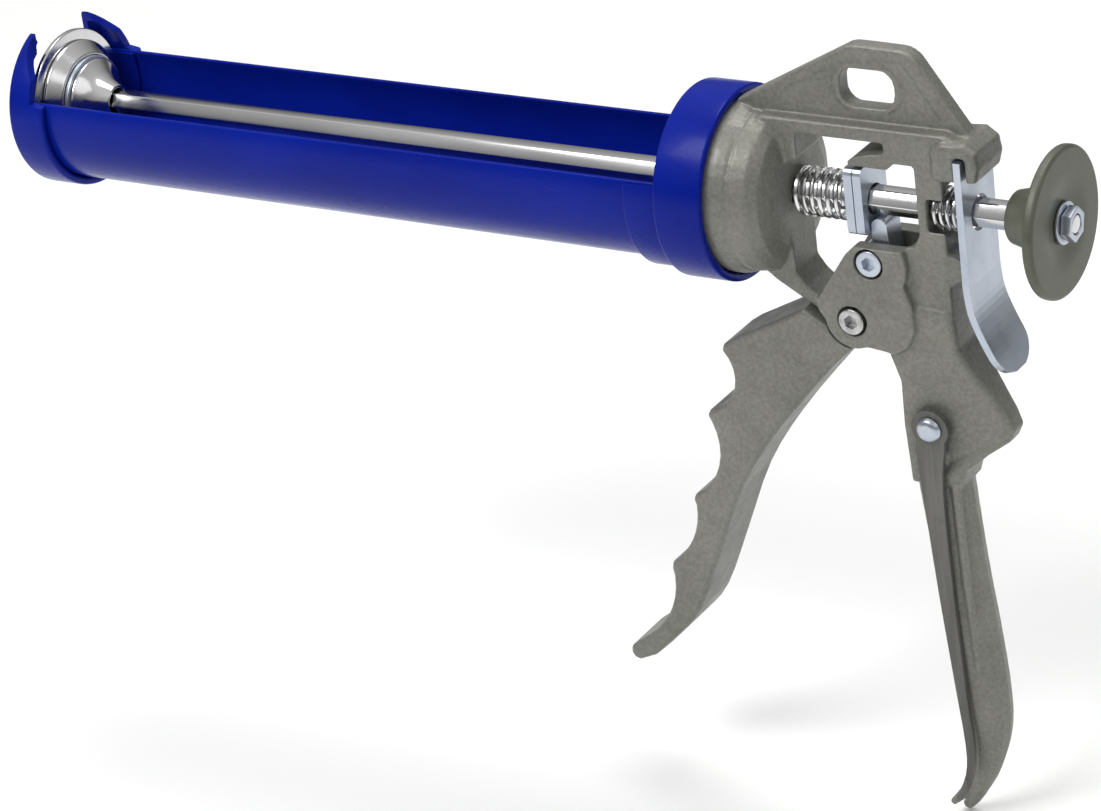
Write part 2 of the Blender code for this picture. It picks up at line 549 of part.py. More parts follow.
# ---------------------------------------------------------------- release lever and piercer
def make_lever():
    """A sheet that hangs straight behind the rear wall and curls back into a rounded thumb tab."""
    path = [(0.0, 19.8), (0.0, 8.0), (0.0, -8.0), *smooth_line(
        [(0.0, -21.0), (0.9, -29.0), (3.6, -36.5), (7.2, -44.0), (10.0, -50.6)], 4)]
    half_width, end_z = 10.5, path[-1][1]
    mesh = bpy.data.meshes.new("release_lever")
    shape = bmesh.new()
    rows = []
    for x, z in path:
        from_end = z - end_z
        narrow = 1.0 if from_end > 8.0 else math.sqrt(max(0.0, 1.0 - ((8.0 - from_end) / 8.4) ** 2))
        reach = half_width * narrow
        rows.append([shape.verts.new(((LEVER_X + x) * MM, reach * side * MM, z * MM))
                     for side in (-1.0, -0.5, 0.0, 0.5, 1.0)])
    for upper, lower in zip(rows, rows[1:]):
        for k in range(4):
            shape.faces.new((upper[k], lower[k], lower[k + 1], upper[k + 1]))
    bmesh.ops.recalc_face_normals(shape, faces=shape.faces)
    shape.to_mesh(mesh)
    shape.free()
    lever = register(mesh, "release_lever", ZINC)
    sheet = lever.modifiers.new("sheet", "SOLIDIFY")
    sheet.thickness = LEVER_THICK * MM
    sheet.offset = 0.0
    combine(lever, [rod_along("lever_hole", "X", 5.7, LEVER_X - 5.0, LEVER_X + 5.0)], "DIFFERENCE")
    set_origin(lever, LEVER_X, 0.0, LEVER_HINGE_Z)


def make_piercer():
    px, pz = PIERCER_PIVOT
    front = smooth_line([(321.6, -78.0), (322.6, -92.0), (325.2, -128.0), (328.0, -160.0), (330.0, -183.0),
                         (329.2, -194.0), (325.2, -203.6)], 3)
    rear = smooth_line([(326.3, -204.6), (331.0, -197.5), (333.0, -184.0), (331.6, -160.0),
                        (330.4, -128.0), (329.8, -92.0), (331.4, -78.0)], 3)
    outline = [*circle(PIERCER_PIVOT, 6.3, -40, 220, 18), *front, *rear]
    strip = side_plate("seal_piercer", outline, 0.8, paint=DULL, centre_y=PIERCER_Y - 0.8)
    combine(strip, [rod_along("piercer_eye", "Y", 2.2 + GAP, -20.0, 0.0, PIERCER_PIVOT)], "DIFFERENCE")
    set_origin(strip, px, 0.0, pz)


make_cradle()
make_front_cap()
make_collar()
make_snap_ring()
make_casting()
make_socket_screw("trigger_pivot_screw", TRIGGER_PIVOT, CHEEK_HALF + 0.7, 3.0)
make_socket_screw("cam_pivot_screw", CAM_PIVOT, CHEEK_HALF - 0.3, 3.0)
make_rivet()
make_rod_group()
make_knob_group()
make_trigger()
make_cam()
make_drive_plates()
coil("drive_spring", BELL_REAR + GAP, PLATE_FRONT - GAP, 7.1, 0.75, 6.5)
coil("release_spring", 330.5 + GAP, LEVER_X - LEVER_THICK / 2 - GAP, 6.3, 0.6, 4.5)
make_lever()
make_piercer()
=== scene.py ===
import json
import math

import bmesh
import bpy
from mathutils import Matrix, Vector


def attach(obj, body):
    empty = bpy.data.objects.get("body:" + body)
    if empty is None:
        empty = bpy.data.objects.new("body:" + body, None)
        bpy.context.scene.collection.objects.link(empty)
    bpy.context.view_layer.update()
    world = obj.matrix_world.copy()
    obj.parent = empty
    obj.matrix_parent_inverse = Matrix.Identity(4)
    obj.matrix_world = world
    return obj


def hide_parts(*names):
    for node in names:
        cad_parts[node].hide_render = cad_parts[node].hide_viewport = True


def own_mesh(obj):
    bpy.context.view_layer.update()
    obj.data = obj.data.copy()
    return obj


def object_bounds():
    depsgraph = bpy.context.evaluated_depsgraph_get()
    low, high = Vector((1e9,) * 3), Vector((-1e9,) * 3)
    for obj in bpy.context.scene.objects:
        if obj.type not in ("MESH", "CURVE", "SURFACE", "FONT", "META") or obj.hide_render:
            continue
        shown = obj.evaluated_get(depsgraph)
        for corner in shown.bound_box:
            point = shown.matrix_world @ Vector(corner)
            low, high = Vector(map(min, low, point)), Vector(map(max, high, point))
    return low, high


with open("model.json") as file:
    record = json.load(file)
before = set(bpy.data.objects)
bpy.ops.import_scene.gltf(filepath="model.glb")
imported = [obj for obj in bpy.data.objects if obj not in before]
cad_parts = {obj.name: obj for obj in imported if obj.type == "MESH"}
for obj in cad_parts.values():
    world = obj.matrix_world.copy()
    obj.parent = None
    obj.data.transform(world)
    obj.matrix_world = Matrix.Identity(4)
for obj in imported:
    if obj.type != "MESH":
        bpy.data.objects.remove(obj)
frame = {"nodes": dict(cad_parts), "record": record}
NODES = frame["nodes"]
BODY_OF = {node: body for body, group in frame["record"]["behaviour"]["bodies"].items() for node in group}
SLOT_OF = {part["node"]: part["material_slot"] for part in frame["record"]["subparts"]}
cad_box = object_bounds()

MM = 0.001
ROD_R = 8.0 / math.sqrt(3.0)  # corner radius of the 8 mm hexagonal rod
EDGE_Z = 7.5                  # height of the half tube's open edges
TRIGGER_PIVOT = (303.2, -37.5)
CAM_PIVOT = (310.6, -17.5)
PIERCER_PIVOT = (327.0, -70.6)


# ---------------------------------------------------------------- materials
def node(tree, kind, **values):
    made = tree.nodes.new(kind)
    for key, value in values.items():
        if hasattr(made, key) and key not in made.inputs:
            setattr(made, key, value)
        else:
            made.inputs[key].default_value = value
    return made


def noise(tree, coords, scale, detail=4.0, stretch=(1.0, 1.0, 1.0), roughness=0.55):
    """A noise value in the piece's own coordinates, in features per metre."""
    mapping = node(tree, "ShaderNodeMapping")
    mapping.inputs["Scale"].default_value = stretch
    tree.links.new(coords, mapping.inputs["Vector"])
    made = node(tree, "ShaderNodeTexNoise")
    made.inputs["Scale"].default_value = scale
    made.inputs["Detail"].default_value = detail
    made.inputs["Roughness"].default_value = roughness
    tree.links.new(mapping.outputs["Vector"], made.inputs["Vector"])
    return made.outputs["Fac"]


def ramp(tree, value, stops):
    made = node(tree, "ShaderNodeValToRGB")
    while len(made.color_ramp.elements) < len(stops):
        made.color_ramp.elements.new(0.5)
    for element, (place, colour) in zip(made.color_ramp.elements, stops):
        element.position = place
        element.color = (*colour, 1.0) if len(colour) == 3 else colour
    tree.links.new(value, made.inputs["Fac"])
    return made.outputs["Color"]


def grey(level):
    return (level, level, level)


def mix(tree, factor, first, second):
    made = node(tree, "ShaderNodeMix", data_type="RGBA", blend_type="MIX")
    colours = [socket for socket in made.inputs if socket.type == "RGBA"]
    if isinstance(factor, float):
        made.inputs[0].default_value = factor
    else:
        tree.links.new(factor, made.inputs[0])
    for socket, value in zip(colours, (first, second)):
        if isinstance(value, tuple):
            socket.default_value = (*value, 1.0)
        else:
            tree.links.new(value, socket)
    return [socket for socket in made.outputs if socket.type == "RGBA"][0]


def bump(tree, value, strength, distance, onto=None):
    made = node(tree, "ShaderNodeBump")
    made.inputs["Strength"].default_value = strength
    made.inputs["Distance"].default_value = distance
    tree.links.new(value, made.inputs["Height"])
    if onto is not None:
        tree.links.new(onto, made.inputs["Normal"])
    return made.outputs["Normal"]


def finish_material(name, build, **uniform):
    """A Principled material whose build function adds its nodes."""
    made = bpy.data.materials.new(name)
    made.use_nodes = True
    tree = made.node_tree
    shader = tree.nodes["Principled BSDF"]
    for key, value in uniform.items():
        shader.inputs[key.replace("_", " ")].default_value = value
    coords = node(tree, "ShaderNodeTexCoord").outputs["Object"]
    build(tree, shader, coords)
    return made


def enamel(tree, shader, coords):
    """Gloss blue stove enamel: faint orange peel, pooled tone and fine rubs."""
    pool = noise(tree, coords, 26.0, 3.0, (0.5, 1.0, 1.0))
    base = ramp(tree, pool, [(0.3, (0.0015, 0.0085, 0.19)), (0.7, (0.0025, 0.014, 0.27))])
    rubs = noise(tree, coords, 240.0, 6.0, (0.08, 1.0, 1.0), 0.7)
    rub_mask = ramp(tree, rubs, [(0.66, grey(0.0)), (0.78, grey(0.35))])
    colour = mix(tree, rub_mask, base, (0.01, 0.025, 0.34))
    tree.links.new(colour, shader.inputs["Base Color"])
    rough = ramp(tree, noise(tree, coords, 60.0, 5.0, (0.3, 1.0, 1.0)), [(0.3, grey(0.17)), (0.75, grey(0.32))])
    tree.links.new(rough, shader.inputs["Roughness"])
    peel = bump(tree, noise(tree, coords, 420.0, 1.5), 0.18, 0.00025)
    tree.links.new(peel, shader.inputs["Normal"])


def casting(tree, shader, coords):
    """Die-cast alloy with a thin grey lacquer: fine grain, cloudy tone, brighter worn edges, and painted shade that
    darkens the hollows.
    """
    cloud = noise(tree, coords, 45.0, 6.0)
    tone = ramp(tree, cloud, [(0.25, (0.146, 0.145, 0.121)), (0.75, (0.216, 0.214, 0.184))])
    grain = noise(tree, coords, 900.0, 3.0)
    tone = mix(tree, 0.22, tone, ramp(tree, grain, [(0.35, grey(0.07)), (0.7, grey(0.33))]))
    edge = node(tree, "ShaderNodeNewGeometry").outputs["Pointiness"]
    worn = ramp(tree, edge, [(0.515, grey(0.0)), (0.60, grey(0.5))])
    tone = mix(tree, worn, tone, (0.36, 0.355, 0.32))
    # painted shade: hollows (low pointiness) are darkened as if less light reached them
    painted_hollow_shade = ramp(tree, edge, [(0.40, grey(0.6)), (0.485, grey(0.0))])
    tone = mix(tree, painted_hollow_shade, tone, (0.07, 0.068, 0.056))
    tree.links.new(tone, shader.inputs["Base Color"])
    rough = ramp(tree, noise(tree, coords, 130.0, 4.0), [(0.3, grey(0.36)), (0.75, grey(0.55))])
    tree.links.new(rough, shader.inputs["Roughness"])
    first = bump(tree, grain, 0.30, 0.0003)
    second = bump(tree, noise(tree, coords, 110.0, 2.0), 0.25, 0.0007, first)
    tree.links.new(second, shader.inputs["Normal"])


def zinc(tree, shader, coords):
    """Bright blue-passivated zinc: faint drifting tints, rolling lines and a few dull spots."""
    tint = noise(tree, coords, 55.0, 4.0)
    base = ramp(tree, tint, [(0.25, (0.40, 0.45, 0.53)), (0.55, (0.49, 0.53, 0.60)), (0.8, (0.53, 0.54, 0.58))])
    spots = ramp(tree, noise(tree, coords, 500.0, 3.0), [(0.62, grey(0.0)), (0.74, grey(0.3))])
    base = mix(tree, spots, base, (0.30, 0.34, 0.36))
    tree.links.new(base, shader.inputs["Base Color"])
    rough = ramp(tree, noise(tree, coords, 160.0, 5.0, (1.0, 1.0, 0.12)), [(0.3, grey(0.26)), (0.75, grey(0.42))])
    tree.links.new(rough, shader.inputs["Roughness"])
    lines = bump(tree, noise(tree, coords, 700.0, 3.0, (1.0, 1.0, 0.1)), 0.10, 0.0002)
    tree.links.new(lines, shader.inputs["Normal"])


def bright_steel(tree, shader, coords):
    """Plated bright steel: draw lines along X, light smears and a few specks."""
    smear = noise(tree, coords, 30.0, 4.0, (0.4, 1.0, 1.0))
    base = ramp(tree, smear, [(0.3, (0.60, 0.60, 0.61)), (0.75, (0.77, 0.77, 0.77))])
    specks = ramp(tree, noise(tree, coords, 900.0, 2.0), [(0.70, grey(0.0)), (0.78, grey(0.4))])
    base = mix(tree, specks, base, (0.32, 0.30, 0.28))
    tree.links.new(base, shader.inputs["Base Color"])
    rough = ramp(tree, noise(tree, coords, 220.0, 5.0, (0.05, 1.0, 1.0)), [(0.3, grey(0.10)), (0.75, grey(0.22))])
    tree.links.new(rough, shader.inputs["Roughness"])
    lines = bump(tree, noise(tree, coords, 900.0, 3.0, (0.02, 1.0, 1.0)), 0.08, 0.0002)
    tree.links.new(lines, shader.inputs["Normal"])


def knob_coating(tree, shader, coords):
    """Dark olive-grey lacquer over a casting, rubbed lighter around the rim."""
    cloud = noise(tree, coords, 60.0, 6.0)
    base = ramp(tree, cloud, [(0.25, (0.058, 0.062, 0.044)), (0.75, (0.122, 0.126, 0.096))])
    rubs = ramp(tree, noise(tree, coords, 500.0, 5.0, roughness=0.7), [(0.6, grey(0.0)), (0.75, grey(0.4))])
    base = mix(tree, rubs, base, (0.22, 0.215, 0.18))
    tree.links.new(base, shader.inputs["Base Color"])
    rough = ramp(tree, cloud, [(0.3, grey(0.34)), (0.75, grey(0.52))])
    tree.links.new(rough, shader.inputs["Roughness"])
    tree.links.new(bump(tree, noise(tree, coords, 700.0, 3.0), 0.25, 0.0003), shader.inputs["Normal"])


def dark_screw(tree, shader, coords):
    """Oiled steel screw, brighter where a key has rubbed it."""
    cloud = noise(tree, coords, 300.0, 5.0)
    base = ramp(tree, cloud, [(0.3, (0.30, 0.30, 0.30)), (0.7, (0.58, 0.58, 0.58))])
    tree.links.new(base, shader.inputs["Base Color"])
    tree.links.new(ramp(tree, cloud, [(0.3, grey(0.25)), (0.75, grey(0.42))]), shader.inputs["Roughness"])
    tree.links.new(bump(tree, noise(tree, coords, 900.0, 3.0), 0.12, 0.0002), shader.inputs["Normal"])


def grey_steel(tree, shader, coords):
    """Dull grey steel strip: long rolling lines and darker handling marks."""
    lines = noise(tree, coords, 320.0, 4.0, (1.0, 1.0, 0.06))
    base = ramp(tree, lines, [(0.3, (0.075, 0.074, 0.066)), (0.7, (0.16, 0.158, 0.146))])
    marks = ramp(tree, noise(tree, coords, 90.0, 5.0), [(0.55, grey(0.0)), (0.75, grey(0.5))])
    base = mix(tree, marks, base, (0.05, 0.05, 0.045))
    tree.links.new(base, shader.inputs["Base Color"])
    tree.links.new(ramp(tree, lines, [(0.3, grey(0.40)), (0.75, grey(0.58))]), shader.inputs["Roughness"])
    tree.links.new(bump(tree, lines, 0.12, 0.0002), shader.inputs["Normal"])


PAINT = {
    "grey_steel": finish_material("grey steel", grey_steel, Metallic=0.4),
    "enamel": finish_material("blue enamel", enamel, Metallic=0.0, IOR=1.19, Coat_Weight=0.03, Coat_Roughness=0.08),
    "casting": finish_material("grey casting", casting, Metallic=0.25),
    "zinc": finish_material("zinc plate", zinc, Metallic=0.9),
    "steel": finish_material("bright steel", bright_steel, Metallic=1.0),
    "knob": finish_material("knob coating", knob_coating, Metallic=0.15),
    "black_screw": finish_material("screw steel", dark_screw, Metallic=1.0),
}


# ---------------------------------------------------------------- shape helpers
def new_piece(mesh, name, *cad_nodes, smooth=35.0):
    """A visible piece that stands for CAD nodes, rides on their body and takes their finish."""
    thing = bpy.data.objects.new("shown_" + name.replace(" ", "_"), mesh)
    bpy.context.scene.collection.objects.link(thing)
    mesh.materials.clear()
    mesh.materials.append(PAINT[SLOT_OF[cad_nodes[0]]])
    mesh.shade_smooth()
    mesh.set_sharp_from_angle(angle=math.radians(smooth))
    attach(thing, BODY_OF[cad_nodes[0]])
    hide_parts(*cad_nodes)
    return thing


def evaluated_copy(thing, name):
    """The object's mesh with its modifiers applied; the object itself is removed."""
    depsgraph = bpy.context.evaluated_depsgraph_get()
    depsgraph.update()
    mesh = bpy.data.meshes.new_from_object(thing.evaluated_get(depsgraph), depsgraph=depsgraph)
    mesh.transform(thing.matrix_world)
    mesh.name = name
    bpy.data.objects.remove(thing, do_unlink=True)
    return mesh


def scratch(mesh):
    thing = bpy.data.objects.new("scratch", mesh)
    bpy.context.scene.collection.objects.link(thing)
    return thing


def outward_mesh(shape, name):
    """A closed bmesh as a mesh whose faces all look outward."""
    bmesh.ops.recalc_face_normals(shape, faces=shape.faces)
    if shape.calc_volume(signed=True) < 0.0:
        bmesh.ops.reverse_faces(shape, faces=shape.faces)
    mesh = bpy.data.meshes.new(name)
    shape.to_mesh(mesh)
    shape.free()
    return mesh


def rounded_profile(profile, radius, steps=3):
    """Each corner of a closed (x, r) profile, in mm, swapped for a small arc."""
    line = []
    count = len(profile)
    for i in range(count):
        here = Vector(profile[i])
        to_last = Vector(profile[i - 1]) - here
        to_next = Vector(profile[(i + 1) % count]) - here
        if here[1] <= 0.0 or to_last.angle(to_next) > math.radians(160.0):
            line.append(tuple(here))
            continue
        reach = min(radius, to_last.length * 0.45, to_next.length * 0.45)
        first, last = here + to_last.normalized() * reach, here + to_next.normalized() * reach
        for k in range(steps + 1):
            t = k / steps
            line.append(tuple(first * (1 - t) ** 2 + here * 2 * t * (1 - t) + last * t * t))
    return line


def lathe_mesh(name, profile, steps=128, start=0.0, sweep=360.0):
    """A closed (x, r) profile, in mm, turned about X; angles count from +Z towards +Y."""
    full = sweep >= 360.0
    count = steps if full else steps + 1
    shape = bmesh.new()
    rings = []
    for i in range(count):
        angle = math.radians(start + sweep * i / steps)
        rings.append([shape.verts.new((x * MM, r * MM * math.sin(angle), r * MM * math.cos(angle)))
                      for x, r in profile])
    for i in range(steps):
        here, there = rings[i], rings[(i + 1) % count]
        for k in range(len(profile)):
            j = (k + 1) % len(profile)
            if profile[k][1] <= 0.0 and profile[j][1] <= 0.0:
                continue
            shape.faces.new((here[k], here[j], there[j], there[k]))
    if not full:
        shape.faces.new(rings[0])
        shape.faces.new(rings[-1][::-1])
    bmesh.ops.remove_doubles(shape, verts=shape.verts, dist=0.000004)
    return outward_mesh(shape, name)


def joined(name, meshes):
    """Several meshes as one mesh."""
    shape = bmesh.new()
    for mesh in meshes:
        shape.from_mesh(mesh)
    mesh = bpy.data.meshes.new(name)
    shape.to_mesh(mesh)
    shape.free()
    return mesh


def along_y(mesh, x, z):
    """A mesh turned about X becomes one turned about the Y line at (x, z), in mm."""
    quarter_turn = Matrix(((0, -1, 0, 0), (1, 0, 0, 0), (0, 0, 1, 0), (0, 0, 0, 1)))
    mesh.transform(Matrix.Translation((x * MM, 0, z * MM)) @ quarter_turn)
    return mesh


def prism(name, axis, radius, low, high, at=(0.0, 0.0), steps=6, phase=0.0):
    """A prism along X or Y, hexagonal unless steps says otherwise, at the two other coordinates, in mm."""
    shape = bmesh.new()
    bmesh.ops.create_cone(shape, cap_ends=True, segments=steps, radius1=radius * MM, radius2=radius * MM,
                          depth=(high - low) * MM, matrix=Matrix.Rotation(math.radians(phase), 4, "Z"))
    middle = (low + high) / 2.0
    turn = Matrix.Rotation(math.pi / 2, 4, "Y" if axis == "X" else "X")
    place = (middle, at[0], at[1]) if axis == "X" else (at[0], middle, at[1])
    shape.transform(Matrix.Translation(Vector(place) * MM) @ turn)
    if shape.calc_volume(signed=True) < 0.0:
        bmesh.ops.reverse_faces(shape, faces=shape.faces)
    mesh = bpy.data.meshes.new(name)
    shape.to_mesh(mesh)
    shape.free()
    return mesh


def box_mesh(low, high):
    shape = bmesh.new()
    bmesh.ops.create_cube(shape, size=1.0)
    size, middle = Vector(high) - Vector(low), (Vector(high) + Vector(low)) / 2.0
    shape.transform(Matrix.Translation(middle * MM) @ Matrix.Diagonal((*(size * MM), 1.0)))
    mesh = bpy.data.meshes.new("box")
    shape.to_mesh(mesh)
    shape.free()
    return mesh


def side_cutter(outline, half=40.0):
    """A prism along Y with an (x, z) outline, in mm."""
    shape = bmesh.new()
    near = [shape.verts.new((x * MM, -half * MM, z * MM)) for x, z in outline]
    far = [shape.verts.new((x * MM, half * MM, z * MM)) for x, z in outline]
    shape.faces.new(near)
    shape.faces.new(far[::-1])
    for k in range(len(outline)):
        j = (k + 1) % len(outline)
        shape.faces.new((near[k], far[k], far[j], near[j]))
    return outward_mesh(shape, "side_cutter")


def worked(mesh, name, cuts=(), bevel=0.0, segments=3, remesh=0.0, smooth=0):
    """A mesh with other meshes cut away, then its edges rounded, as one evaluated mesh."""
    thing = scratch(mesh)
    others = []
    for cut in cuts:
        other = scratch(cut)
        others.append(other)
        step = thing.modifiers.new("cut", "BOOLEAN")
        step.operation, step.object, step.solver = "DIFFERENCE", other, "EXACT"
    if bevel:
        step = thing.modifiers.new("round", "BEVEL")
        step.width, step.segments, step.limit_method = bevel * MM, segments, "ANGLE"
        step.angle_limit = math.radians(38.0)
    if remesh:
        step = thing.modifiers.new("skin", "REMESH")
        step.mode, step.voxel_size = "VOXEL", remesh * MM
    if smooth:
        step = thing.modifiers.new("soften", "SMOOTH")
        step.factor, step.iterations = 0.5, smooth
    result = evaluated_copy(thing, name)
    for other in others:
        bpy.data.objects.remove(other, do_unlink=True)
    return result


def coil_mesh(name, start, end, radius, wire, turns):
    """A compression spring: an even helix of round wire from start to end, in mm."""
    curve = bpy.data.curves.new(name, "CURVE")
    curve.dimensions, curve.use_fill_caps, curve.bevel_depth, curve.bevel_resolution = "3D", True, wire * MM, 3
    steps = int(turns * 40)
    spline = curve.splines.new("POLY")
    spline.points.add(steps)
    for i, point in enumerate(spline.points):
        t = i / steps
        angle = 2.0 * math.pi * turns * t
        x = start + wire + (end - start - 2.0 * wire) * t
        point.co = (x * MM, radius * math.cos(angle) * MM, radius * math.sin(angle) * MM, 1.0)
    return evaluated_copy(scratch(curve), name)


# ---------------------------------------------------------------- barrel
def cradle():
    """The half tube, with a small rolled bead along its two open edges."""
    outer, inner, mid, bead = 26.5, 25.3, 25.9, 0.6
    open_half = math.degrees(math.acos(EDGE_Z / mid))
    section = []
    steps = 96
    for i in range(steps + 1):
        angle = math.radians(open_half + (360.0 - 2.0 * open_half) * i / steps)
        section.append((outer * math.sin(angle), outer * math.cos(angle)))
    for i in range(1, 6):
        a = math.radians(360.0 - open_half)
        t = math.pi * i / 6
        radius, lift = mid + bead * math.cos(t), bead * math.sin(t)
        section.append((radius * math.sin(a) + lift * math.cos(a), radius * math.cos(a) - lift * math.sin(a)))
    for i in range(steps, -1, -1):
        angle = math.radians(open_half + (360.0 - 2.0 * open_half) * i / steps)
        section.append((inner * math.sin(angle), inner * math.cos(angle)))
    for i in range(1, 6):
        a = math.radians(open_half)
        t = math.pi * i / 6
        radius, lift = mid - bead * math.cos(t), bead * math.sin(t)
        section.append((radius * math.sin(a) - lift * math.cos(a), radius * math.cos(a) + lift * math.sin(a)))
    shape = bmesh.new()
    stations = [-2.7, 20.0, 60.0, 110.0, 160.0, 210.0, 250.9]
    rings = [[shape.verts.new((x * MM, y * MM, z * MM)) for y, z in section] for x in stations]
    for here, there in zip(rings, rings[1:]):
        for k in range(len(section)):
            j = (k + 1) % len(section)
            shape.faces.new((here[k], here[j], there[j], there[k]))
    shape.faces.new(rings[0])
    shape.faces.new(rings[-1][::-1])
    new_piece(outward_mesh(shape, "cradle"), "cradle", "cradle_tube")


def front_cap():
    """The front ring: a channel that holds the tube's end between two lips, with two tapering horns."""
    profile = rounded_profile([(-5.0, 29.5), (9.0, 29.5), (9.0, 26.8), (-3.0, 26.8), (-3.0, 25.0), (9.0, 25.0),
                               (9.0, 24.2), (-3.0, 24.2), (-3.0, 22.5), (-5.0, 22.5)], 1.3, 4)
    mesh = lathe_mesh("front cap", profile, 144)
    trim = side_cutter([(9.2, EDGE_Z), (4.2, 8.4), (3.8, 15.5), (1.2, 19.0), (-0.8, 22.5), (-2.2, 25.0), (-2.4, 40.0),
                        (20.0, 40.0), (20.0, EDGE_Z)])
    inner_lip = worked(prism("inner lip", "X", 26.0, -2.8, 20.0, steps=96), "inner lip",
                       [box_mesh((-30.0, -40.0, -40.0), (30.0, 40.0, EDGE_Z - 0.2))])
    cuts = [trim, inner_lip, box_mesh((-20.0, -11.5, 0.0), (20.0, 16.5, 40.0))]
    new_piece(worked(mesh, "front cap", cuts, bevel=0.3), "front cap", "front_cap")


def collar():
    band = lathe_mesh("band", rounded_profile([
        (249.0, 31.0), (265.5, 31.0), (265.5, 28.3), (258.3, 28.2), (258.3, 29.3), (255.7, 29.3),
        (255.7, 28.2), (250.6, 28.2), (250.6, 26.8), (249.0, 26.8)], 0.9, 4), 144)
    open_half = math.degrees(math.acos(EDGE_Z / 27.8))
    sleeve = lathe_mesh("sleeve", rounded_profile([(237.0, 28.8), (249.6, 28.8), (249.6, 26.8), (237.0, 26.8)], 0.6, 3),
                        96, open_half, 360.0 - 2.0 * open_half)
    new_piece(joined("collar", [band, sleeve]), "collar", "barrel_collar")


def snap_ring():
    profile = rounded_profile([(256.3, 28.7), (257.7, 28.7), (257.7, 27.3), (256.3, 27.3)], 0.7, 4)
    mesh = lathe_mesh("snap ring", profile, 96, 8.0, 344.0)
    new_piece(mesh, "snap ring", "barrel_snap_ring")


# ---------------------------------------------------------------- rod, piston and knob
def rod_group():
    rod = worked(prism("rod", "X", ROD_R, 11.0, 366.0), "rod", bevel=0.35, segments=2)
    ends = lathe_mesh("tenons", rounded_profile([(0.0, 0.0), (0.0, 3.0), (12.0, 3.0), (12.0, 0.0)], 0.3), 48)
    rear = lathe_mesh("rear tenon", rounded_profile([(365.0, 0.0), (365.0, 2.9), (376.4, 2.9), (376.4, 0.0)], 0.5), 48)
    new_piece(joined("push rod", [rod, ends, rear]), "push rod", "push_rod")
    bore = 3.3
    turned = {
        "piston_plate": ([(0.0, 23.5), (1.8, 23.5), (1.8, bore), (0.0, bore)], 0.5),
        "piston_cup": ([(2.1, 19.8), (3.2, 19.8), (4.4, 18.4), (7.2, 15.7), (7.2, bore), (2.1, bore)], 0.5),
        "piston_washer": ([(7.5, 14.9), (8.9, 14.9), (8.9, bore), (7.5, bore)], 0.35),
        "piston_hub": ([(9.2, 13.9), (10.0, 13.8), (12.5, 10.0), (15.5, 7.4), (19.0, 5.7), (19.0, 4.72),
                        (18.0, 4.72), (17.7, 4.92), (10.7, 4.92), (10.7, bore), (9.2, bore)], 0.8),
        "knob": ([(356.0, 6.9), (357.0, 8.2), (361.0, 9.2), (364.0, 10.3), (366.4, 12.2), (368.1, 15.2), (369.0, 19.0),
                  (369.3, 22.2), (370.0, 23.4), (372.3, 23.4), (373.0, 22.4), (372.9, 16.0), (372.9, 12.2),
                  (372.0, 9.6), (372.0, 3.7), (371.3, 3.7), (371.3, 4.92), (356.0, 4.92)], 0.6),
        "knob_washer": ([(372.3, 6.6), (373.2, 6.6), (373.2, 3.2), (372.3, 3.2)], 0.25),
    }
    for name, (profile, radius) in turned.items():
        new_piece(lathe_mesh(name, rounded_profile(profile, radius, 4), 144), name.replace("_", " "), name)
    nut = worked(prism("nut", "X", 5.6, 373.5, 376.6, phase=15.0), "nut",
                 [prism("hole", "X", 3.2, 370.0, 380.0, steps=40)], bevel=0.3)
    new_piece(nut, "knob nut", "knob_nut")


# ---------------------------------------------------------------- casting and trigger
def copy_mesh(cad_node):
    return NODES[cad_node].data.copy()


def tapered_bar(points, radii):
    """A round bar through (x, y, z) points, with a radius at each, in mm."""
    curve = bpy.data.curves.new("bar", "CURVE")
    curve.dimensions, curve.use_fill_caps, curve.bevel_depth, curve.bevel_resolution = "3D", True, MM, 4
    spline = curve.splines.new("POLY")
    spline.points.add(len(points) - 1)
    for point, place, radius in zip(spline.points, points, radii):
        point.co = (*(c * MM for c in place), 1.0)
        point.radius = radius
    return evaluated_copy(scratch(curve), "bar")


def frame_casting():
    """The casting with soft cast edges, a ridge down the grip and a second prong at its tail."""
    ridge_and_prong = [
        tapered_bar([(333.2, -5.0, -80.0), (332.6, -7.2, -92.0), (333.6, -7.0, -125.0), (335.2, -6.9, -155.0),
                     (336.0, -6.0, -180.0), (334.0, -4.2, -194.0)], [0.8, 1.5, 1.5, 1.5, 1.2, 0.7]),
        tapered_bar([(327.0, 1.5, -203.0), (322.9, -3.6, -207.5), (320.4, -5.4, -209.8)], [2.4, 1.7, 1.1]),
    ]
    mesh = joined("casting", [copy_mesh("frame_casting"), *ridge_and_prong])
    mesh = worked(mesh, "casting", remesh=0.55, smooth=3)
    new_piece(mesh, "casting", "frame_casting", smooth=180.0)


def trigger():
    mesh = worked(copy_mesh("trigger"), "trigger body", remesh=0.45, smooth=2)
    new_piece(mesh, "trigger body", "trigger", smooth=180.0)


# ---------------------------------------------------------------- small metal pieces
def screws():
    for name, at, head_out in (("trigger_pivot_screw", TRIGGER_PIVOT, 11.2), ("cam_pivot_screw", CAM_PIVOT, 10.2)):
        top, seat = -head_out, -head_out + 3.0
        profile = rounded_profile([(top, 0.0), (top, 4.3), (seat, 4.3), (seat, 3.0), (10.1, 3.0), (10.1, 0.0)], 0.5, 4)
        mesh = along_y(lathe_mesh(name, profile, 64), *at)
        socket = prism("socket", "Y", 2.4, top - 1.0, top + 2.2, at, 6, 10.0)
        new_piece(worked(mesh, name, [socket]), name.replace("_", " "), name)
    outer = -11.1
    profile = rounded_profile([(outer - 1.9, 0.0), (outer - 1.9, 2.2), (outer - 1.4, 3.4), (outer - 0.3, 4.1),
                               (outer, 4.1), (outer, 2.2), (8.9, 2.2), (8.9, 3.6), (9.8, 3.0), (10.0, 0.0)], 0.4, 3)
    new_piece(along_y(lathe_mesh("rivet", profile, 64), *PIERCER_PIVOT), "piercer rivet", "piercer_rivet")


